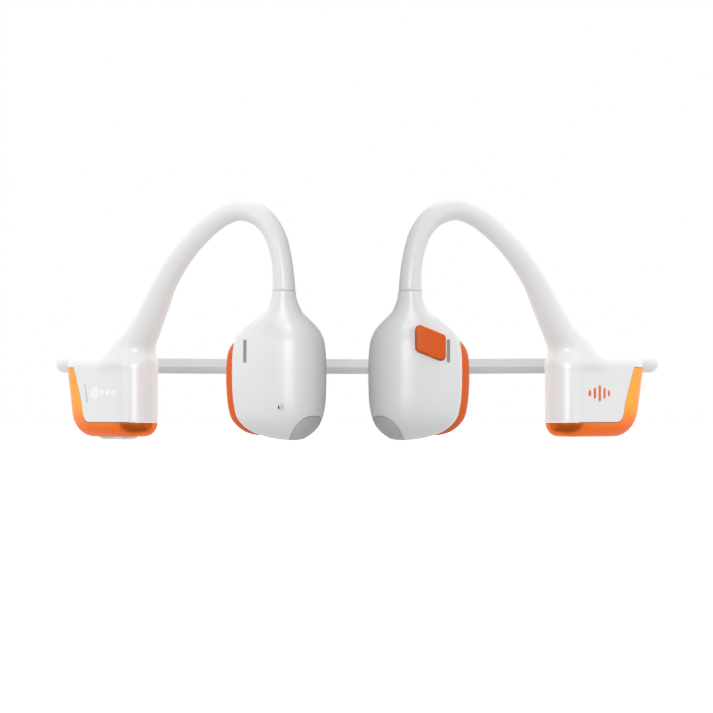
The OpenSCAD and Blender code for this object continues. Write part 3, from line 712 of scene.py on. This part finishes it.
for name, side in (("left", 1), ("right", -1)):
    shell = outward(mesh_object(f"{name}_front", *loft(shell_rings()), side))
    boolean(shell, slot_tool(side), "DIFFERENCE")
    turn = np.linspace(0, 2 * pi, 72, endpoint=False)
    vents = [
        [unit_pt(VENT_AT[0] + (VENT_R + grow) * cos(a), y, VENT_AT[1] + (VENT_R + grow) * sin(a)) for a in turn]
        for grow, y in ((0.05, -9), (0.05, 2), (-0.02, -9), (-0.02, 2))
    ]
    vent = copy_of(shell, f"{name}_vent")
    boolean(shell, solid("cut", np.array(vents[0]), np.array(vents[1]), side), "DIFFERENCE")
    boolean(vent, solid("cut", np.array(vents[2]), np.array(vents[3]), side), "INTERSECT")
    if side > 0:
        outline = rounded(BUTTON, BUTTON_R + 0.1)
        near = np.array([on_facet(x, -3, BUTTON_Z + z) for x, z in outline])
        far = np.array([on_facet(x, 1.45, BUTTON_Z + z) for x, z in outline])
        boolean(shell, solid("cut", near, far, side), "DIFFERENCE")
    else:
        ring = np.array([unit_pt(MIC_AT[0] + 0.42 * cos(a), -7, MIC_AT[1] + 0.7 * sin(a)) for a in turn[::3]])
        back = ring + 1.95 * UNIT_Y
        boolean(shell, solid("cut", ring, back, side), "DIFFERENCE")
        plug = ring.mean(0) + 0.8 * (ring - ring.mean(0))
        grille = solid("microphone_grille", plug + 1.55 * UNIT_Y, plug + 1.97 * UNIT_Y, side)
        dress(grille, KEY_GREY, "right_unit", slot="vent_grey")
    smooth(shell, 40)
    smooth(vent, 40)
    dress(shell, WHITE, f"{name}_unit", f"{name}_front_shell", slot="white_shell")
    dress(vent, VENT_GREY, f"{name}_unit", f"{name}_vent_mesh", slot="vent_grey")

# Multifunction button: a domed cap
outline = rounded(BUTTON, BUTTON_R, 12)
middle = outline.mean(0)
rings = []
for depth, share in (
    (0.9, 1), (0, 1), (-0.6, 1), (-0.8, 0.992), (-0.93, 0.972), (-1.02, 0.94), (-1.07, 0.9), (-1.09, 0.8),
    (-1.1, 0.55), (-1.1, 0.25),
):
    rings.append([on_facet(x, depth, BUTTON_Z + z) for x, z in middle + (outline - middle) * share])
button = outward(mesh_object("button_cap", *loft(rings)))
dress(smooth(button, 40), ORANGE_BUTTON, "multifunction_button", "multifunction_button", slot="orange_button")

# Skin pads: height and half width of the outline, then depth steps and shares
PAD = [
    (1.0, 3.2), (1.3, 4.7), (1.9, 6.2), (3, 7.6), (4.6, 8.7), (7, 9.3), (10, 9.6), (13, 9.7), (16, 9.6),
    (18.3, 9.1), (20, 7.9), (20.9, 6.4), (21.3, 5),
]
PAD_MID = 11.1
PAD_STEPS = [
    (0.72, 0.925), (0.8, 0.94), (1.1, 0.955), (2, 0.98), (3.2, 1), (4.6, 0.985), (5.4, 0.95), (5.9, 0.91),
    (6.25, 0.85), (6.5, 0.74), (6.52, 0.5),
]


def pad_rings():
    right = np.array([on_curve(PAD, t) for t in np.linspace(0, len(PAD) - 1, 60)])
    outline = np.concatenate([
        np.stack([right[:, 1], right[:, 0] - PAD_MID], 1),
        np.stack([-right[::-1, 1], right[::-1, 0] - PAD_MID], 1),
    ])
    rings = []
    for t in np.linspace(0, len(PAD_STEPS) - 1, 46):
        y, share = on_curve(PAD_STEPS, t)
        rings.append(np.array([unit_pt(p * share, y, PAD_MID + q * share) for p, q in outline]))
    return rings


for name, side in (("left", 1), ("right", -1)):
    pad = outward(mesh_object(f"{name}_pad", *loft(pad_rings()), side))
    smooth(pad, 40)
    dress(pad, ORANGE_PAD, f"{name}_unit", f"{name}_skin_pad", slot="orange_silicone")

# ---------------------------------------------------------------- CAD nodes that keep their shape

for node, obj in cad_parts.items():
    if obj.hide_render:
        continue
    material = DARK
    if node.endswith("slot_mesh"):
        material = SLOT_GREY
    elif node == "usb_receptacle":
        material = STEEL
    obj.data.materials.clear()
    obj.data.materials.append(material)

# ---------------------------------------------------------------- stage, light and camera


def area(name, at, look, size, power, colour=(1, 1, 1)):
    lamp = bpy.data.lights.new(name, "AREA")
    lamp.shape = "RECTANGLE"
    lamp.size, lamp.size_y = size
    lamp.energy = power
    lamp.color = colour
    obj = bpy.data.objects.new(name, lamp)
    bpy.context.scene.collection.objects.link(obj)
    obj.location = at
    obj.rotation_euler = (Vector(look) - Vector(at)).to_track_quat("-Z", "Y").to_euler()
    return obj


world = bpy.data.worlds.new("studio")
bpy.context.scene.world = world
world.use_nodes = True
bpy.context.scene.view_settings.view_transform = "Standard"


def studio(tree):
    """A bright room behind and above, dark at the front sides and below, and plain white where the camera looks."""
    new, link = tree.nodes.new, tree.links.new
    room, out = tree.nodes["Background"], tree.nodes["World Output"]
    where, split = new("ShaderNodeTexCoord"), new("ShaderNodeSeparateXYZ")
    link(where.outputs["Generated"], split.inputs[0])
    spans = []
    for axis, low, high, dim, bright in (("Y", -0.35, 0.3, ROOM_FRONT, ROOM_BACK), ("Z", 0.1, 0.9, 0.0, ROOM_TOP),
                                         ("Z", -0.5, 0.05, ROOM_LOW, 1.0)):
        span = new("ShaderNodeMapRange")
        span.interpolation_type = "SMOOTHSTEP"
        span.inputs["From Min"].default_value, span.inputs["From Max"].default_value = low, high
        span.inputs["To Min"].default_value, span.inputs["To Max"].default_value = dim, bright
        link(split.outputs[axis], span.inputs["Value"])
        spans.append(span.outputs["Result"])
    total, scaled = new("ShaderNodeMath"), new("ShaderNodeMath")
    total.operation, scaled.operation = "ADD", "MULTIPLY"
    link(spans[0], total.inputs[0])
    link(spans[1], total.inputs[1])
    link(total.outputs[0], scaled.inputs[0])
    link(spans[2], scaled.inputs[1])
    link(scaled.outputs[0], room.inputs["Strength"])
    paper, seen, mix = new("ShaderNodeBackground"), new("ShaderNodeLightPath"), new("ShaderNodeMixShader")
    paper.inputs["Strength"].default_value = 1
    paper.inputs["Color"].default_value = room.inputs["Color"].default_value = (1, 1, 1, 1)
    link(seen.outputs["Is Camera Ray"], mix.inputs[0])
    link(room.outputs[0], mix.inputs[1])
    link(paper.outputs[0], mix.inputs[2])
    link(mix.outputs[0], out.inputs["Surface"])


ROOM_FRONT, ROOM_BACK, ROOM_TOP, ROOM_LOW = 0.18, 1.35, 0.3, 0.9
studio(world.node_tree)

centre = (0, -0.02, 0.024)
area("front", (-0.02, -1.1, 0.17), centre, (0.36, 0.32), 7.2)
area("left", (1.0, -0.75, 0.2), centre, (0.4, 0.5), 2.4)
area("right", (-1.0, -0.75, 0.2), centre, (0.4, 0.5), 2.4)
area("top", (0, 0.1, 0.9), centre, (0.9, 0.9), 0.8)

# A grey card between the two sides keeps their inner flanks dark; the camera doesn't see it
card_mesh = bpy.data.meshes.new("card")
card_mesh.from_pydata([(0, -0.2, 0.001), (0, -0.02, 0.001), (0, -0.02, 0.09), (0, -0.2, 0.09)], [], [(0, 1, 2, 3)])
card = bpy.data.objects.new("card", card_mesh)
bpy.context.scene.collection.objects.link(card)
card_material, _, _ = node_material("card_grey", (0.5, 0.5, 0.5), 0.9)
card.data.materials.append(card_material)
card.visible_camera = False

floor_mesh = bpy.data.meshes.new("floor")
reach = 3.0
corners = [(-reach, -reach, 0), (reach, -reach, 0), (reach, reach, 0), (-reach, reach, 0)]
floor_mesh.from_pydata(corners, [], [(0, 1, 2, 3)])
floor = bpy.data.objects.new("floor", floor_mesh)
bpy.context.scene.collection.objects.link(floor)
floor_material, _, _ = node_material(
    "floor_paper", (0.8, 0.8, 0.8), 0.9, Emission_Color=(1, 1, 1, 1), Emission_Strength=0.55
)
floor.data.materials.append(floor_material)
floor.visible_diffuse = floor.visible_glossy = False

camera_data = bpy.data.cameras.new("camera")
camera = bpy.data.objects.new("camera", camera_data)
bpy.context.scene.collection.objects.link(camera)
bpy.context.scene.camera = camera
DISTANCE, AZIMUTH, EYE = 0.815, radians(2.0), 0.0045
# Focal length, picture width, the picture's middle, and where the origin's axis meets it, in pixels
FOCAL, WIDTH, MIDDLE, AXIS_X, AXIS_Y = 3830, 713, 356.5, 355, 418
SENSOR = 36
camera_data.sensor_width = SENSOR
camera_data.lens = SENSOR * FOCAL / WIDTH
camera_data.clip_start, camera_data.clip_end = 0.01, 20
camera.location = (DISTANCE * sin(AZIMUTH), -DISTANCE * cos(AZIMUTH), EYE)
camera.rotation_euler = (pi / 2, 0, AZIMUTH)
camera_data.shift_y = (AXIS_Y - MIDDLE) / WIDTH
camera_data.shift_x = (MIDDLE - AXIS_X) / WIDTH
